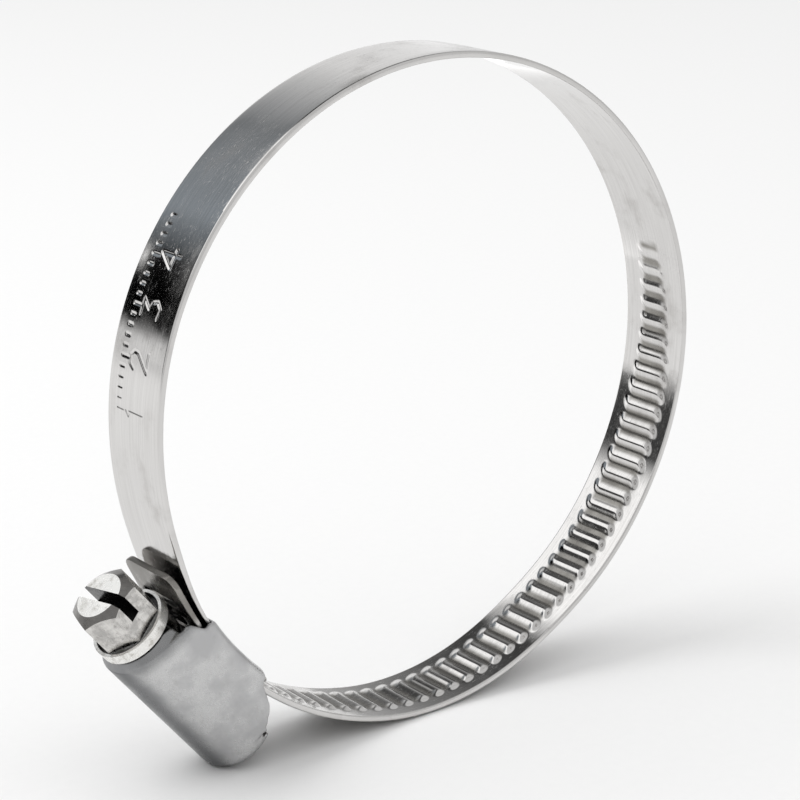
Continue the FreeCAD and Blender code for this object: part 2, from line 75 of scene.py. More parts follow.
# strip
BAND_WIDTH = 9.0
BAND_THICK = 0.65
END_THICK = 0.42                # the strap's end is pressed thinner inside the housing
EDGE_ROUND = 0.2
EDGE_TURNS = (22.5, 45.0, 67.5) # degrees at which a rounded edge has points
CROWN = 0.02                    # how far the faces fall away towards the strip's edges
CROWN_FROM, CROWN_TO = 3.1, 4.4
END_TO, DIP_FROM = 7.0, 24.0    # psi where the end stretch stops and the full strip begins
DIP_TO, MAIN_FROM = 26.0, 62.0
MAIN_RADIUS = 33.8              # inner face of the plain strap
END_RADIUS = 34.12              # the same inside the housing, just clear of its floor
DIP_RADIUS = 33.55              # the strap sinks a little as it leaves the housing
RACK_RADIUS = 34.92             # inner face of the toothed strap where it crosses the housing
RISE_FROM, RISE_TO = 275.0, 320.0
SAG = 0.2                       # the toothed strap lies this much inside the circle at lower right
SAG_FROM, SAG_FULL, SAG_TO = 215.0, 255.0, 300.0
TAIL_FLARE = 0.1
FLARE_FROM = 371.0
TONGUE_FROM, TAIL_TIP = -11.5, 378.5
TONGUE_TAPER, TAIL_ROUND = 1.5, 1.3
TAIL_DARK_FROM, TAIL_DARK_TO = 368.0, 371.0     # the tail's tip gets painted shade past here

# pressed grooves
PITCH = 2.1
RACK_MIDDLE = RACK_RADIUS + BAND_THICK / 2
GROOVE_STEP = math.degrees(PITCH / RACK_MIDDLE)
GROOVE_LAST = 358.8214          # a groove that a crest of the worm stands in at rest
GROOVE_FIRST = GROOVE_LAST - 45 * GROOVE_STEP
GROOVE_COUNT = 50
GROOVE_SLANT = math.tan(math.radians(5.36))
GROOVE_HALF_WIDTH, GROOVE_HALF_LENGTH = 0.6, 2.8
GROOVE_DEPTH = 0.42             # on the outer face
GROOVE_WALL = 0.3               # how wide the groove's sloping wall is
GROOVE_FIRST_STRENGTHS = (0.5, 0.9, 1.0)        # the first grooves are pressed more shallowly
RIDGE_HEIGHT = 0.28             # the same metal standing out of the inner face
RIDGE_SKIRT = 0.36              # how far a ridge's foot spreads past the groove's width
RIDGE_CURL, RIDGE_CURL_LENGTH = 0.3, 1.1        # the ridge's ends bend aside
RIDGE_FIRST_HALF_LENGTH, RIDGE_HALF_LENGTH = 1.6, 2.8
RIDGES_GROWING = 9              # ridges until the full length is reached
HOLLOW_FROM, HOLLOW_FULL = 0.35, 0.8            # painted shade in the hollow between two ridges
HOLLOW_LAST, HOLLOW_END = 1.2, 1.5
HOLLOW_SHORTER = 0.7
SLANT_FROM, SLANT_FULL, SLANT_LAST, SLANT_END = 192.0, 200.0, 373.0, 376.0

# where one stretch of strip ends and the next starts, away from the hinges
SEAM_RACK, SEAM_TOP, SEAM_LEFT = 250.6, 160.0, 80.0

# fineness of the strip's mesh: points across a face, and distance between its stations
RACK_ROWS, PLAIN_ROWS, RULER_ROWS = 46, 30, 82
RACK_STEP = 0.15                # millimetres
PLAIN_STEP, RULER_STATION_STEP = 0.8, 0.16      # degrees
PLAIN_BEFORE_RACK = 1.5         # degrees of fine mesh before the first groove
SHARP_ANGLE = 70.0              # edges bent more than this stay sharp, degrees
END_STEP = 0.03                 # degrees from a cut end to its neighbour, so that the cut shades flat


def ease(start, end, value):
    """0 before start, 1 after end, smooth between; works on numbers and arrays."""
    share = np.clip((value - start) / (end - start), 0.0, 1.0)
    return share * share * (3.0 - 2.0 * share)


# ---------------------------------------------------------------- strip
def inner_radius(psi):
    """Inner face of the strip all the way from the tongue to the tail's tip."""
    radius = END_RADIUS + (DIP_RADIUS - END_RADIUS) * ease(END_TO, DIP_FROM, psi)
    radius = radius + (MAIN_RADIUS - DIP_RADIUS) * ease(DIP_TO, MAIN_FROM, psi)
    radius = radius - SAG * ease(SAG_FROM, SAG_FULL, psi) * (1.0 - ease(RISE_FROM, SAG_TO, psi))
    radius = radius + (RACK_RADIUS - MAIN_RADIUS) * ease(RISE_FROM, RISE_TO, psi)
    return radius + TAIL_FLARE * ease(FLARE_FROM, TAIL_TIP, psi) ** 2


def shear(psi):
    """Slant of the mesh's columns, so that they run along the grooves."""
    return GROOVE_SLANT * ease(SLANT_FROM, SLANT_FULL, psi) * (1.0 - ease(SLANT_LAST, SLANT_END, psi))


def groove_profile(psi, across):
    """Depth in the nearest groove on the outer and the inner face, and the painted shade in the hollow
    beside it, 0 to 1.
    """
    number = np.clip(np.round((psi - GROOVE_FIRST) / GROOVE_STEP), 0, GROOVE_COUNT - 1)
    along = np.radians(psi - (GROOVE_FIRST + number * GROOVE_STEP)) * RACK_MIDDLE
    distance = np.abs(across)
    half_length = np.interp(number, (0, RIDGES_GROWING), (RIDGE_FIRST_HALF_LENGTH, RIDGE_HALF_LENGTH))
    bent = np.clip(distance - half_length + RIDGE_CURL_LENGTH, 0.0, None)
    along_ridge = along + RIDGE_CURL * np.sign(across) * bent ** 2
    over = np.clip(distance - GROOVE_HALF_LENGTH + GROOVE_HALF_WIDTH, 0.0, None)
    over_ridge = np.clip(distance - half_length + GROOVE_HALF_WIDTH, 0.0, None)
    inside = GROOVE_HALF_WIDTH - np.hypot(along, over)
    inside_ridge = GROOVE_HALF_WIDTH - np.hypot(along_ridge, over_ridge)
    strength = np.interp(number, (0, 1, 2), GROOVE_FIRST_STRENGTHS)
    groove = strength * ease(0.0, GROOVE_WALL, inside)
    ridge = strength * ease(-RIDGE_SKIRT, GROOVE_HALF_WIDTH, inside_ridge)
    hollow = ease(HOLLOW_FROM, HOLLOW_FULL, np.abs(along_ridge))
    hollow = hollow * (1.0 - ease(HOLLOW_LAST, HOLLOW_END, np.abs(along)))
    hollow = hollow * (1.0 - ease(half_length - HOLLOW_SHORTER, half_length, distance))
    return groove, ridge, hollow


# generic ruler: a tick every millimetre and a numeral at every fifth, as strokes in a 2 by 3 mm box
NUMERALS = {
    "1": [(0.5, 2.4), (1.1, 3.0), (1.1, 0.0)],
    "2": [(0.1, 2.3), (0.5, 2.9), (1.3, 3.0), (1.8, 2.5), (1.7, 1.8), (0.1, 0.0), (1.9, 0.0)],
    "3": [(0.2, 3.0), (1.8, 3.0), (0.9, 1.8), (1.6, 1.5), (1.8, 0.7), (1.2, 0.0), (0.2, 0.2)],
    "4": [(1.4, 0.0), (1.4, 3.0), (0.1, 0.9), (1.9, 0.9)],
}
RULER_FROM, RULER_STEP = 45.0, 8.4      # degrees
RULER_BASE = -1.7                       # across
RULER_TOP = 2.7
RULER_MESH_FROM, RULER_MESH_TO = 42.0, 77.5     # psi between which the mesh is fine
NUMERAL_HALF_WIDTH = 1.0
TICKS_PER_NUMERAL = 5
TALL_TICK, SHORT_TICK = 1.1, 0.6
STROKE = 0.13
STROKE_DEPTH = 0.06
FAR_AWAY = 9.0                  # larger than any distance to a stroke that matters


def ruler_strokes():
    """Line segments of the ruler in (along, across) millimetres; along starts at RULER_FROM."""
    radius = MAIN_RADIUS + BAND_THICK
    spacing = math.radians(RULER_STEP) * radius
    strokes = []
    for index, points in enumerate(NUMERALS.values()):
        left = index * spacing - NUMERAL_HALF_WIDTH
        for (x0, y0), (x1, y1) in zip(points, points[1:]):
            strokes.append((left + x0, RULER_BASE + y0, left + x1, RULER_BASE + y1))
        for tick in range(TICKS_PER_NUMERAL):
            place = (index + tick / TICKS_PER_NUMERAL) * spacing
            length = TALL_TICK if tick == 0 else SHORT_TICK
            strokes.append((place, RULER_TOP - length, place, RULER_TOP))
    return strokes


def ruler_profile(psi, across):
    """1 inside a stroke of the ruler, 0 outside."""
    along = np.radians(psi - RULER_FROM) * (MAIN_RADIUS + BAND_THICK)
    nearest = np.full(np.shape(along), FAR_AWAY)
    for x0, y0, x1, y1 in ruler_strokes():
        dx, dy = x1 - x0, y1 - y0
        share = np.clip(((along - x0) * dx + (across - y0) * dy) / (dx * dx + dy * dy), 0.0, 1.0)
        nearest = np.minimum(nearest, np.hypot(along - x0 - share * dx, across - y0 - share * dy))
    return 1.0 - ease(STROKE * 0.5, STROKE * 1.5, nearest)


def section(rows):
    """Closed outline of the strip as (across, height share, face), face -1 inner, 0 edge, 1 outer."""
    half = BAND_WIDTH / 2.0
    flat = half - EDGE_ROUND
    corner = EDGE_ROUND / BAND_THICK
    outline = [(y, 1.0, 1) for y in np.linspace(-flat, flat, rows)]
    for step in EDGE_TURNS:
        turn = math.radians(step)
        outline.append((flat + EDGE_ROUND * math.sin(turn), 1.0 - corner + corner * math.cos(turn), 0))
    outline.append((half, 1.0 - corner, 0))
    outline.append((half, 0.5, 0))
    outline.append((half, corner, 0))
    for step in EDGE_TURNS:
        turn = math.radians(step)
        outline.append((flat + EDGE_ROUND * math.cos(turn), corner - corner * math.sin(turn), 0))
    outline += [(y, 0.0, -1) for y in np.linspace(flat, -flat, rows)]
    edge_points = 2 * len(EDGE_TURNS) + 3
    mirrored = [(-y, height, face) for y, height, face in outline[rows:rows + edge_points]]
    return outline + mirrored[::-1]


def strip_piece(name, stations, rows, trim=None):
    """A closed stretch of strip through the stations, with its grooves, ruler and rounded edges."""
    outline = section(rows)
    across = np.array([y for y, _, _ in outline])[None, :]
    height = np.array([h for _, h, _ in outline])[None, :]
    face = np.array([f for _, _, f in outline])[None, :]
    psi = np.array(stations)[:, None]
    if trim is not None:
        across = across * trim(psi)
    radius = inner_radius(psi)
    psi = psi - np.degrees(shear(psi) * across / RACK_MIDDLE)
    outer_cut, inner_ridge, hollow = groove_profile(psi, across)
    thick = END_THICK + (BAND_THICK - END_THICK) * ease(END_TO, DIP_FROM, psi)
    lift = thick * height - CROWN * ease(CROWN_FROM, CROWN_TO, np.abs(across)) * (face >= 0)
    lift = lift - (face == 1) * (GROOVE_DEPTH * outer_cut + STROKE_DEPTH * ruler_profile(psi, across))
    lift = lift - (face == -1) * RIDGE_HEIGHT * inner_ridge
    total = radius + lift
    angle = np.radians(psi + LEAN)
    grid = np.stack([-total * np.sin(angle), across + 0 * angle, -total * np.cos(angle)], axis=2) * MM
    count, ring = grid.shape[:2]
    faces = []
    for i in range(count - 1):
        for j in range(ring):
            k = (j + 1) % ring
            faces.append((i * ring + j, i * ring + k, (i + 1) * ring + k, (i + 1) * ring + j))
    faces.append(tuple(reversed(range(ring))))
    faces.append(tuple((count - 1) * ring + j for j in range(ring)))
    mesh = bpy.data.meshes.new(name)
    mesh.from_pydata(grid.reshape(-1, 3).tolist(), [], faces)
    mesh.update()
    along = np.radians(psi) * RACK_MIDDLE + 0 * across
    places = np.stack([along, across + 0 * along], axis=2).reshape(-1, 2)
    corners = np.zeros(len(mesh.loops), dtype=np.int32)
    mesh.loops.foreach_get("vertex_index", corners)
    layer = mesh.uv_layers.new(name="strip")
    layer.data.foreach_set("uv", places[corners].astype(np.float32).ravel())
    # Painted shade, kept as an attribute: darker in the hollows between the ridges, in the grooves of the
    # outer face and on the tail's tip.
    dark = np.maximum((face == -1) * hollow + (face == 1) * outer_cut,
                      ease(TAIL_DARK_FROM, TAIL_DARK_TO, psi))
    painted_shade = mesh.attributes.new("painted_shade", "FLOAT", "POINT")
    painted_shade.data.foreach_set("value", dark.astype(np.float32).ravel())
    mesh.polygons.foreach_set("use_smooth", [True] * len(mesh.polygons))
    mesh.set_sharp_from_angle(angle=math.radians(SHARP_ANGLE))
    piece = bpy.data.objects.new(name, mesh)
    bpy.context.scene.collection.objects.link(piece)
    return piece


def spaced(start, end, step):
    """Stations from start to end, with one close to each end so that the ends shade as flat cuts."""
    count = max(2, int(round((end - start) / step)))
    inner = np.linspace(start + END_STEP, end - END_STEP, count + 1)
    return [start, *inner, end]


def tongue_trim(psi):
    """The strap's end narrows over its last millimetres."""
    length = math.degrees(TONGUE_TAPER / END_RADIUS)
    narrow = TONGUE_TAPER * 2.0 / BAND_WIDTH
    return 1.0 - narrow * np.clip(1.0 - (psi - TONGUE_FROM) / length, 0.0, 1.0)


def tail_trim(psi):
    """The tail's corners are rounded."""
    left = np.clip(1.0 - np.radians(TAIL_TIP - psi) * RACK_MIDDLE / TAIL_ROUND, 0.0, 1.0)
    return 1.0 - (1.0 - np.sqrt(np.clip(1.0 - left * left, 0.0, 1.0))) * TAIL_ROUND * 2.0 / BAND_WIDTH


def bend(piece):
    """Bake a piece's placement into its mesh."""
    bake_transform(piece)


def build_band():
    """Four stretches of one strip, cut where nothing bends, in place of the strip's CAD parts."""
    fine = math.degrees(RACK_STEP / RACK_MIDDLE)
    first_groove = GROOVE_FIRST - PLAIN_BEFORE_RACK
    tip = [TAIL_TIP - math.degrees(TAIL_ROUND * (1.0 - math.sin(turn)) / RACK_MIDDLE)
           for turn in np.radians(np.arange(0.0, 91.0, 10.0))]
    tail_stations = spaced(SEAM_RACK, tip[0], fine)[:-1] + tip
    tail = strip_piece("band_rack_tail_strip", tail_stations, RACK_ROWS, tail_trim)
    bend(tail)
    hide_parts("band_rack_tail")

    side_stations = spaced(SEAM_TOP, first_groove, PLAIN_STEP)[:-2]
    side_stations += spaced(first_groove, SEAM_RACK, fine)[1:]
    side = strip_piece("band_rack_side_strip", side_stations, RACK_ROWS)
    bend(side)
    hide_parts("band_rack_side")

    upper = strip_piece("band_upper_strip", spaced(SEAM_LEFT, SEAM_TOP, PLAIN_STEP), PLAIN_ROWS)
    bend(upper)
    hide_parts("band_strap_upper")

    lower_stations = spaced(TONGUE_FROM, RULER_MESH_FROM, PLAIN_STEP)[:-2]
    lower_stations += list(np.arange(RULER_MESH_FROM, RULER_MESH_TO, RULER_STATION_STEP))
    lower_stations += spaced(RULER_MESH_TO, SEAM_LEFT, PLAIN_STEP)[1:]
    lower = strip_piece("band_lower_strip", lower_stations, RULER_ROWS, tongue_trim)
    bend(lower)
    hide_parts("band_strap_lower", "band_strap_end")
    return [tail, side, upper, lower]


# ---------------------------------------------------------------- screw and housing
# places along the screw, millimetres from its joint
HEAD_END, SLOT_FLOOR = -13.7, -11.0
COLLAR_FRONT, DISH_FLOOR, COLLAR_BACK = -9.0, -8.4, -7.8
MOUTH = -7.5
SHEET_VOXEL = 0.14
SOFTENING_PASSES, SOFTENING_SHARE = 6, 0.5


def build_housing():
    """The pressed housing with its folds and cut edges drawn soft, as sheet metal leaves the press."""
    mesh = frame["nodes"]["housing"].data.copy()
    mesh.name = "housing_sheet"
    housing = bpy.data.objects.new("housing_sheet", mesh)
    bpy.context.scene.collection.objects.link(housing)
    remesh = housing.modifiers.new("sheet", "REMESH")
    remesh.mode = "VOXEL"
    remesh.voxel_size = SHEET_VOXEL * MM
    soften = housing.modifiers.new("soften", "SMOOTH")
    soften.factor = SOFTENING_SHARE
    soften.iterations = SOFTENING_PASSES
    evaluated = housing.evaluated_get(bpy.context.evaluated_depsgraph_get())
    soft = bpy.data.meshes.new_from_object(evaluated)
    housing.modifiers.clear()
    housing.data = soft
    soft.polygons.foreach_set("use_smooth", [True] * len(soft.polygons))
    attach(housing, "housing")
    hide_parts("housing")
    return housing


# ---------------------------------------------------------------- materials
def add_node(tree, kind, settings=None, **inputs):
    """Add a shader node; inputs are values or sockets, named by their labels with _ for spaces."""
    node = tree.nodes.new(kind)
    for name, value in (settings or {}).items():
        setattr(node, name, value)
    for name, value in inputs.items():
        label = name.replace("_", " ")
        socket = node.inputs[int(name[1:])] if name[0] == "i" and name[1:].isdigit() else node.inputs[label]
        if isinstance(value, bpy.types.NodeSocket):
            tree.links.new(value, socket)
        else:
            socket.default_value = value
    return node


def new_steel(name):
    """A material with an empty metallic shader, returned with its tree."""
    material = bpy.data.materials.new(name)
    material.use_nodes = True
    tree = material.node_tree
    shader = tree.nodes["Principled BSDF"]
    shader.inputs["Metallic"].default_value = 1.0
    return material, tree, shader


def noise(tree, place, scale, detail=3.0, roughness=0.5, stretch=(1.0, 1.0, 1.0)):
    """Noise over a place socket in millimetres; scale is in cycles per millimetre."""
    mapped = add_node(tree, "ShaderNodeMapping", Vector=place, Scale=stretch)
    texture = add_node(tree, "ShaderNodeTexNoise", Vector=mapped.outputs[0], Scale=scale,
                       Detail=detail, Roughness=roughness)
    return texture.outputs["Fac"]


def remap(tree, value, low, high, to_low=0.0, to_high=1.0):
    node = add_node(tree, "ShaderNodeMapRange", {"interpolation_type": "SMOOTHSTEP"}, Value=value,
                    From_Min=low, From_Max=high, To_Min=to_low, To_Max=to_high)
    return node.outputs[0]


def math_node(tree, operation, first, second):
    return add_node(tree, "ShaderNodeMath", {"operation": operation}, i0=first, i1=second).outputs[0]


def mix_colour(tree, share, first, second):
    node = add_node(tree, "ShaderNodeMix", {"data_type": "RGBA"}, i0=share)
    for index, colour in ((6, first), (7, second)):
        if isinstance(colour, bpy.types.NodeSocket):
            tree.links.new(colour, node.inputs[index])
        else:
            node.inputs[index].default_value = (*colour, 1.0)
    return node.outputs[2]


def bumps(tree, layers):
    """Chain bump layers, each (height socket, strength, depth in millimetres)."""
    normal = None
    for height, strength, depth in layers:
        node = add_node(tree, "ShaderNodeBump", Height=height, Strength=strength, Distance=depth * MM)
        if normal is not None:
            tree.links.new(normal, node.inputs["Normal"])
        normal = node.outputs[0]
    return normal


def band_steel():
    """Bright rolled strip: rolling lines along it, fine scratches, soft smudges, and painted shade in the
    grooves, between the ridges and on the tail's tip.
    """
    material, tree, shader = new_steel("band_steel_with_painted_shade")
    place = add_node(tree, "ShaderNodeUVMap", {"uv_map": "strip"}).outputs[0]
    rolling = noise(tree, place, 3.0, 2.0, 0.6, (0.03, 2.2, 1.0))
    smudge = noise(tree, place, 0.22, 4.0, 0.62, (0.7, 1.0, 1.0))
    speck = noise(tree, place, 2.6, 3.0, 0.7)
    waves = noise(tree, place, 0.12, 1.0, 0.4, (1.0, 0.6, 1.0))
    scratch = remap(tree, noise(tree, place, 5.0, 1.0, 0.4, (0.25, 1.6, 1.0)), 0.66, 0.72)
    dirt = remap(tree, smudge, 0.52, 0.72)
    clean = mix_colour(tree, remap(tree, rolling, 0.3, 0.7), (0.60, 0.59, 0.58), (0.68, 0.67, 0.66))
    colour = mix_colour(tree, math_node(tree, "MULTIPLY", dirt, 0.45), clean, (0.40, 0.385, 0.37))
    # Painted shade: the attribute darkens the steel and makes it rougher in the hollows, the grooves and on
    # the tail's tip.
    painted_shade = add_node(tree, "ShaderNodeAttribute", {"attribute_name": "painted_shade"}).outputs["Fac"]
    painted_shade_tone = mix_colour(tree, remap(tree, smudge, 0.35, 0.65), (0.26, 0.25, 0.23), (0.17, 0.16, 0.145))
    colour = mix_colour(tree, math_node(tree, "MULTIPLY", painted_shade, 0.9), colour, painted_shade_tone)
    tree.links.new(colour, shader.inputs["Base Color"])
    rough = math_node(tree, "ADD", remap(tree, smudge, 0.35, 0.75, 0.07, 0.2),
                      remap(tree, speck, 0.5, 0.8, 0.0, 0.08))
    rough = math_node(tree, "ADD", rough, math_node(tree, "MULTIPLY", painted_shade, 0.14))
    rough = math_node(tree, "ADD", rough, math_node(tree, "MULTIPLY", scratch, 0.12))
    tree.links.new(rough, shader.inputs["Roughness"])
    normal = bumps(tree, [(waves, 0.5, 0.05), (rolling, 0.25, 0.004), (scratch, 0.2, 0.004)])
    tree.links.new(normal, shader.inputs["Normal"])
    return material


def part_place(tree):
    """Place on a CAD piece in millimetres, turned so that X runs along the screw."""
    coordinates = add_node(tree, "ShaderNodeTexCoord").outputs["Object"]
    shifted = add_node(tree, "ShaderNodeVectorMath", {"operation": "SUBTRACT"},
                       i0=coordinates, i1=tuple(SCREW_POINT)).outputs[0]
    turned = add_node(tree, "ShaderNodeVectorRotate", {"rotation_type": "Y_AXIS"},
                      Vector=shifted, Angle=-math.radians(LEAN)).outputs[0]
    scaled = add_node(tree, "ShaderNodeVectorMath", {"operation": "SCALE"}, i0=turned, Scale=1.0 / MM)
    return scaled.outputs[0]


def between(tree, value, low, high, soft=0.04):
    """1 where a value lies between low and high, with soft ends."""
    return math_node(tree, "MULTIPLY", remap(tree, value, low - soft, low + soft),
                     remap(tree, value, high - soft, high + soft, 1.0, 0.0))


def either(tree, *masks):
    total = masks[0]
    for mask in masks[1:]:
        total = math_node(tree, "MAXIMUM", total, mask)
    return total


def housing_steel():
    """Satin pressed sheet: cloudy mottling, fine grain, faint drawing lines along the barrel, and painted
    shade on the outward faces, the rear end and behind the mouth.
    """
    material, tree, shader = new_steel("housing_steel_with_painted_shade")
    place = part_place(tree)
    cloud = noise(tree, place, 0.32, 4.0, 0.55)
    patch = noise(tree, place, 1.1, 3.0, 0.6)
    grain = noise(tree, place, 9.0, 2.0, 0.6)
    drawn = noise(tree, place, 2.0, 2.0, 0.5, (0.12, 1.6, 1.6))
    base = mix_colour(tree, remap(tree, cloud, 0.35, 0.68), (0.58, 0.58, 0.58), (0.46, 0.46, 0.465))
    colour = mix_colour(tree, remap(tree, patch, 0.55, 0.8, 0.0, 0.35), base, (0.38, 0.375, 0.37))
    normal = add_node(tree, "ShaderNodeTexCoord").outputs["Normal"]
    below = add_node(tree, "ShaderNodeVectorMath", {"operation": "DOT_PRODUCT"}, i0=normal,
                     i1=tuple(OUTWARD)).outputs["Value"]
    behind = add_node(tree, "ShaderNodeVectorMath", {"operation": "DOT_PRODUCT"}, i0=normal,
                      i1=tuple(SCREW_AXIS)).outputs["Value"]
    along = add_node(tree, "ShaderNodeSeparateXYZ", Vector=place).outputs["X"]
    # Painted shade: darker on faces turned away from the ring's centre, on the rear end and just behind the
    # mouth.
    shade = either(tree, remap(tree, below, 0.6, 0.97, 0.0, 0.9), remap(tree, behind, 0.3, 0.9, 0.0, 0.6),
                   remap(tree, along, MOUTH + 0.5, MOUTH + 2.3, 0.6, 0.0))
    colour = mix_colour(tree, shade, colour, (0.1, 0.103, 0.108))
    tree.links.new(colour, shader.inputs["Base Color"])
    rough = math_node(tree, "ADD", remap(tree, cloud, 0.3, 0.7, 0.25, 0.34),
                      remap(tree, grain, 0.3, 0.8, -0.03, 0.05))
    tree.links.new(rough, shader.inputs["Roughness"])
    normal = bumps(tree, [(cloud, 0.35, 0.12), (drawn, 0.3, 0.008), (grain, 0.35, 0.006)])
    tree.links.new(normal, shader.inputs["Normal"])
    return material


def screw_steel():
    """Turned and tumbled steel: worn end face and rim with a painted highlight, painted shade on the bevel,
    in the slot and in the hollows.
    """
    material, tree, shader = new_steel("screw_steel_with_painted_light")
    place = part_place(tree)
    parts = add_node(tree, "ShaderNodeSeparateXYZ", Vector=place).outputs
    coordinates = add_node(tree, "ShaderNodeTexCoord").outputs
    from_axis = add_node(tree, "ShaderNodeVectorMath", {"operation": "SUBTRACT"},
                         i0=coordinates["Object"], i1=tuple(SCREW_POINT)).outputs[0]
    facing = add_node(tree, "ShaderNodeVectorMath", {"operation": "DOT_PRODUCT"},
                      i0=coordinates["Normal"], i1=tuple(-SCREW_AXIS)).outputs["Value"]
    outward = add_node(tree, "ShaderNodeVectorMath", {"operation": "DOT_PRODUCT"},
                       i0=coordinates["Normal"], i1=from_axis).outputs["Value"]
    along = parts["X"]
    frontal = remap(tree, facing, 0.9, 0.97)
    end_face = math_node(tree, "MULTIPLY", frontal,
                         remap(tree, along, HEAD_END + 0.1, HEAD_END + 0.2, 1.0, 0.0))
    bevel = math_node(tree, "MULTIPLY", between(tree, facing, 0.3, 0.92),
                      remap(tree, along, HEAD_END + 1.4, HEAD_END + 1.6, 1.0, 0.0))
    recess_floor = math_node(tree, "MULTIPLY", frontal, either(
        tree, between(tree, along, SLOT_FLOOR - 0.2, SLOT_FLOOR + 0.2),
        between(tree, along, DISH_FLOOR - 0.15, DISH_FLOOR + 0.15)))
    recess = either(tree, recess_floor, remap(tree, outward, -0.3 * MM, -0.1 * MM, 1.0, 0.0))
    recess = either(tree, recess, remap(tree, along, COLLAR_BACK + 0.05, COLLAR_BACK + 0.3, 0.0, 0.55))
    rim = math_node(tree, "MULTIPLY", between(tree, along, COLLAR_FRONT, COLLAR_BACK),
                    remap(tree, outward, 0.5 * MM, 1.0 * MM))
    rings = add_node(tree, "ShaderNodeTexWave", {"wave_type": "RINGS", "rings_direction": "X"}, Vector=place,
                     Scale=3.2, Distortion=0.8, Detail=2.0, Detail_Scale=1.5).outputs["Fac"]
    wear = noise(tree, place, 0.9, 5.0, 0.65)
    streak = noise(tree, place, 2.6, 3.0, 0.6, (0.3, 1.4, 1.0))
    scuff = remap(tree, noise(tree, place, 2.2, 2.0, 0.6, (0.5, 1.5, 1.0)), 0.6, 0.7)
    grain = noise(tree, place, 7.0, 2.0, 0.6)
    base = mix_colour(tree, remap(tree, wear, 0.36, 0.66), (0.72, 0.705, 0.68), (0.47, 0.46, 0.445))
    base = mix_colour(tree, remap(tree, streak, 0.45, 0.75, 0.0, 0.5), base, (0.36, 0.35, 0.335))
    base = mix_colour(tree, math_node(tree, "MULTIPLY", scuff, 0.4), base, (0.30, 0.285, 0.27))
    # Painted highlight on top of wear: the end face and the collar's rim get a pale tone that is part
    # diffuse, so they stay bright under any lamp.
    wear_and_highlight = mix_colour(tree, remap(tree, wear, 0.5, 0.72), (0.93, 0.92, 0.89), (0.55, 0.53, 0.49))
    base = mix_colour(tree, either(tree, end_face, rim), base, wear_and_highlight)
    # Painted shade on the bevel.
    base = mix_colour(tree, math_node(tree, "MULTIPLY", bevel, 0.85), base, (0.13, 0.125, 0.12))
    # Painted shade: the slot, the dish, the inward walls and the neck behind the collar are near black.
    colour = mix_colour(tree, recess, base, (0.018, 0.017, 0.016))
    tree.links.new(colour, shader.inputs["Base Color"])
    tree.links.new(remap(tree, either(tree, end_face, rim), 0.0, 1.0, 1.0, 0.5), shader.inputs["Metallic"])
    rough = math_node(tree, "ADD", remap(tree, wear, 0.3, 0.7, 0.17, 0.32),
                      remap(tree, scuff, 0.0, 1.0, 0.0, 0.1))
    tree.links.new(rough, shader.inputs["Roughness"])
    normal = bumps(tree, [(wear, 0.35, 0.05), (rings, 0.25, 0.008), (grain, 0.3, 0.005)])
    tree.links.new(normal, shader.inputs["Normal"])
    return material


def dress(piece, material):
    """Give every slot of a piece one material."""
    piece.data.materials.clear()
    piece.data.materials.append(material)


# ---------------------------------------------------------------- surroundings
PHOTO_AZIMUTH, PHOTO_ELEVATION = -38.3, 17.13
CAMERA_DISTANCE = 243.98 * MM
LENS, SENSOR = 106.35, 36.0
NEAR_CLIP = 0.01
SHIFT_RIGHT, SHIFT_UP = -0.0214, -0.0253


def add_camera():
    azimuth, elevation = math.radians(PHOTO_AZIMUTH), math.radians(PHOTO_ELEVATION)
    back = Vector((math.sin(azimuth) * math.cos(elevation), -math.cos(azimuth) * math.cos(elevation),
                   math.sin(elevation)))
    right = Vector((math.cos(azimuth), math.sin(azimuth), 0.0))
    up = back.cross(right)
    camera = bpy.data.objects.new("camera", bpy.data.cameras.new("camera"))
    camera.matrix_world = Matrix.Translation(back * CAMERA_DISTANCE) @ Matrix(
        (right, up, back)).transposed().to_4x4()
    camera.data.lens = LENS
    camera.data.sensor_width = SENSOR
    camera.data.shift_x = SHIFT_RIGHT
    camera.data.shift_y = SHIFT_UP
    camera.data.clip_start = NEAR_CLIP
    bpy.context.scene.collection.objects.link(camera)
    bpy.context.scene.camera = camera


FLOOR_RADIUS = 2.5
FLOOR_POINTS = 96
FLOOR_GAP = 0.00002             # the sheet lies just below the clamp


def add_floor():
    """Plain pale sheet, wide enough to fill the view."""
    turns = [2.0 * math.pi * index / FLOOR_POINTS for index in range(FLOOR_POINTS)]
    corners = [(FLOOR_RADIUS * math.cos(turn), FLOOR_RADIUS * math.sin(turn), FLOOR_Z - FLOOR_GAP)
               for turn in turns]
    mesh = bpy.data.meshes.new("floor")
    mesh.from_pydata(corners, [], [tuple(range(FLOOR_POINTS))])
    floor = bpy.data.objects.new("floor", mesh)
    bpy.context.scene.collection.objects.link(floor)
    material = bpy.data.materials.new("floor_paper")
    material.use_nodes = True
    tree = material.node_tree
    shader = tree.nodes["Principled BSDF"]
    place = add_node(tree, "ShaderNodeTexCoord").outputs["Object"]
    paper = add_node(tree, "ShaderNodeTexNoise", Vector=place, Scale=900.0, Detail=2.0).outputs["Fac"]
    tone = mix_colour(tree, paper, (0.83, 0.83, 0.83), (0.85, 0.85, 0.848))
    tree.links.new(tone, shader.inputs["Base Color"])
    shader.inputs["Roughness"].default_value = 0.9
    shader.inputs["Specular IOR Level"].default_value = 0.0
    mesh.materials.append(material)


# The studio that the polished faces mirror is a few broad panels around the ring's axis: degrees
# from +X towards +Z, grey level, blue tint.  Behind the ring stand a pale ceiling sheet, a
# blue-grey wall, a black flag and a pale lower wall.
BACK_WALL = [
    (0, 1.0, 0.0), (45, 0.9, 0.0), (85, 0.25, 0.05), (125, 0.35, 0.1), (145, 0.0, 0.0), (170, 0.0, 0.0),
    (175, 0.9, 0.0),
]
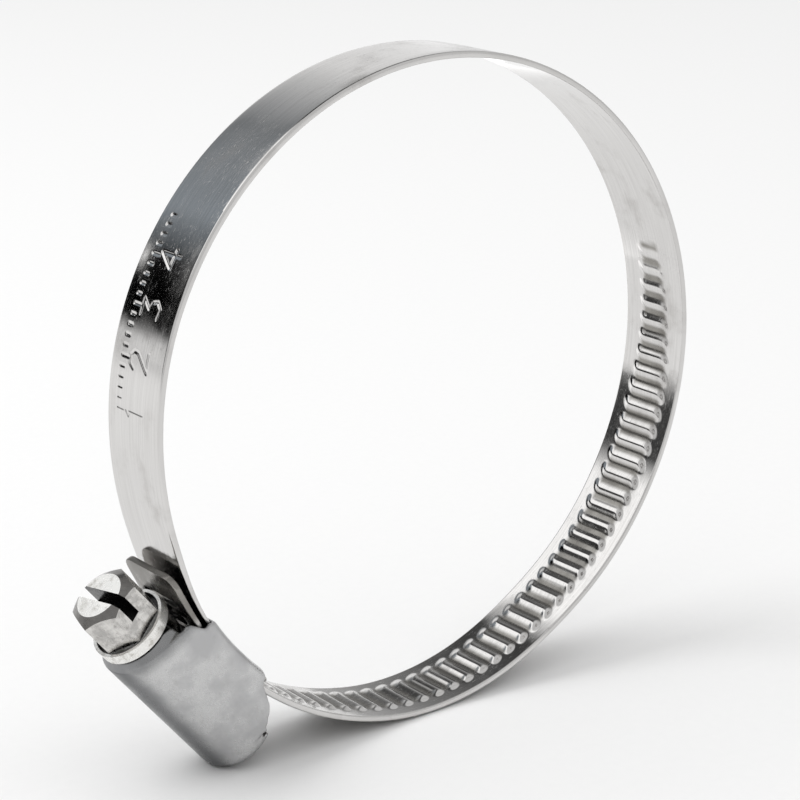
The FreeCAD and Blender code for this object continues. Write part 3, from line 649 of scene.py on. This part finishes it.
# Beside it are a dim wall, a bright softbox, a second black flag and a grey lower wall.
SIDE_WALLS = [
    (0, 0.5, 0.0), (60, 0.1, 0.0), (85, 0.05, 0.0), (95, 1.4, 0.0), (145, 1.4, 0.0), (155, 0.05, 0.0),
    (175, 0.05, 0.0), (195, 0.75, 0.0),
]
FRONT_WALL = 0.72
DAYLIGHT = 1.2                  # soft light on pale surfaces, strongest from overhead
BACKDROP = 0.95                 # what the camera would see past the floor
# heights of a direction's Y, and its Z for the sky, between which one part of the room fades over
FRONT_TO_SIDE = (0.52, 0.64)
SIDE_TO_BACK = (0.735, 0.77)
SKY_FADE = (0.1, 0.75)


def wall_ramp(tree, turn, stops):
    ramp = add_node(tree, "ShaderNodeValToRGB", Fac=turn)
    elements = ramp.color_ramp.elements
    elements.remove(elements[1])
    for index, (degrees, grey, blue) in enumerate(stops):
        stop = elements[0] if index == 0 else elements.new(degrees / 360.0)
        stop.position = degrees / 360.0
        stop.color = (grey * (1.0 - blue), grey, grey * (1.0 + blue), 1.0)
    return ramp.outputs[0]


def add_room():
    """Soft studio: polished faces mirror the panels, everything else gets a sky brightest overhead."""
    world = bpy.data.worlds.new("studio")
    bpy.context.scene.world = world
    world.use_nodes = True
    tree = world.node_tree
    tree.nodes.clear()
    direction = add_node(tree, "ShaderNodeTexCoord").outputs["Generated"]
    parts = add_node(tree, "ShaderNodeSeparateXYZ", Vector=direction).outputs
    angle = math_node(tree, "ARCTAN2", parts["Z"], parts["X"])
    turn = math_node(tree, "FRACT", math_node(tree, "DIVIDE", angle, 2.0 * math.pi), 0.0)
    walls = mix_colour(tree, remap(tree, parts["Y"], *SIDE_TO_BACK), wall_ramp(tree, turn, SIDE_WALLS),
                       wall_ramp(tree, turn, BACK_WALL))
    room = mix_colour(tree, remap(tree, parts["Y"], *FRONT_TO_SIDE), (FRONT_WALL,) * 3, walls)
    path = add_node(tree, "ShaderNodeLightPath").outputs
    overhead = mix_colour(tree, remap(tree, parts["Z"], *SKY_FADE), (0.0, 0.0, 0.0), (DAYLIGHT,) * 3)
    lit = mix_colour(tree, path["Is Glossy Ray"], overhead, room)
    colour = mix_colour(tree, path["Is Camera Ray"], lit, (BACKDROP,) * 3)
    background = add_node(tree, "ShaderNodeBackground", Color=colour, Strength=1.0)
    output = add_node(tree, "ShaderNodeOutputWorld")
    tree.links.new(background.outputs[0], output.inputs["Surface"])


KEY_PLACE = (-0.35, 0.25, 0.6)
KEY_SIDE, KEY_POWER = 0.5, 1.7


def add_key():
    """Soft lamp above and behind on the left, which polished faces don't mirror."""
    light = bpy.data.lights.new("key", "AREA")
    light.shape = "RECTANGLE"
    light.size = KEY_SIDE
    light.size_y = KEY_SIDE
    light.energy = KEY_POWER
    lamp = bpy.data.objects.new("key", light)
    lamp.location = KEY_PLACE
    lamp.rotation_euler = (-Vector(KEY_PLACE)).to_track_quat("-Z", "Y").to_euler()
    lamp.visible_camera = False
    lamp.visible_glossy = False
    bpy.context.scene.collection.objects.link(lamp)


def add_card(name, corners, grey_low, grey_high):
    """A card that only reflections see, shading from its first edge to its last."""
    mesh = bpy.data.meshes.new(name)
    mesh.from_pydata([Vector(c) * MM for c in corners], [], [(0, 1, 2, 3)])
    layer = mesh.uv_layers.new(name="card")
    for loop, place in zip(layer.data, ((0, 0), (1, 0), (1, 1), (0, 1))):
        loop.uv = place
    card = bpy.data.objects.new(name, mesh)
    bpy.context.scene.collection.objects.link(card)
    material = bpy.data.materials.new(name)
    material.use_nodes = True
    tree = material.node_tree
    tree.nodes.clear()
    place = add_node(tree, "ShaderNodeUVMap", {"uv_map": "card"}).outputs[0]
    parts = add_node(tree, "ShaderNodeSeparateXYZ", Vector=place).outputs
    colour = mix_colour(tree, parts["Y"], (grey_low,) * 3, (grey_high,) * 3)
    glow = add_node(tree, "ShaderNodeEmission", Color=colour, Strength=1.0)
    output = add_node(tree, "ShaderNodeOutputMaterial")
    tree.links.new(glow.outputs[0], output.inputs["Surface"])
    mesh.materials.append(material)
    card.visible_camera = False
    card.visible_diffuse = False
    card.visible_shadow = False
    card.visible_transmission = False


# cards in millimetres: corners, and grey level at the first and the last edge
CARD_HEIGHT = FLOOR_Z / MM + 0.2
SHEET_NEAR_EDGE = [(-10, 50, CARD_HEIGHT), (130, 125, CARD_HEIGHT)]
SHEET_FOLD = [(-10, 72, CARD_HEIGHT), (130, 155, CARD_HEIGHT)]
SHEET_FAR_EDGE = [(0, 430, CARD_HEIGHT), (400, 430, CARD_HEIGHT)]
WINDOW = [(-75, 90, 40), (-65, 90, 40), (-65, 90, 50), (-75, 90, 50)]
SHEET_NEAR_GREY, SHEET_FOLD_GREY, SHEET_FAR_GREY, WINDOW_GREY = 0.92, 1.45, 1.2, 1.5


def add_lights():
    """The lamp, a bright sheet on the table behind the ring, and a window for the screw's end face."""
    add_key()
    add_card("near_sheet", SHEET_NEAR_EDGE + SHEET_FOLD[::-1], SHEET_NEAR_GREY, SHEET_FOLD_GREY)
    add_card("window", WINDOW, WINDOW_GREY, WINDOW_GREY)
    add_card("far_sheet", SHEET_FOLD + SHEET_FAR_EDGE[::-1], SHEET_FOLD_GREY, SHEET_FAR_GREY)


# ---------------------------------------------------------------- build
add_camera()
add_floor()
add_room()
add_lights()
strip_steel_with_painted_shade = band_steel()
for piece in build_band():
    dress(piece, strip_steel_with_painted_shade)
dress(build_housing(), housing_steel())
dress(frame["nodes"]["worm_screw"], screw_steel())
bpy.context.scene.view_settings.view_transform = "Standard"
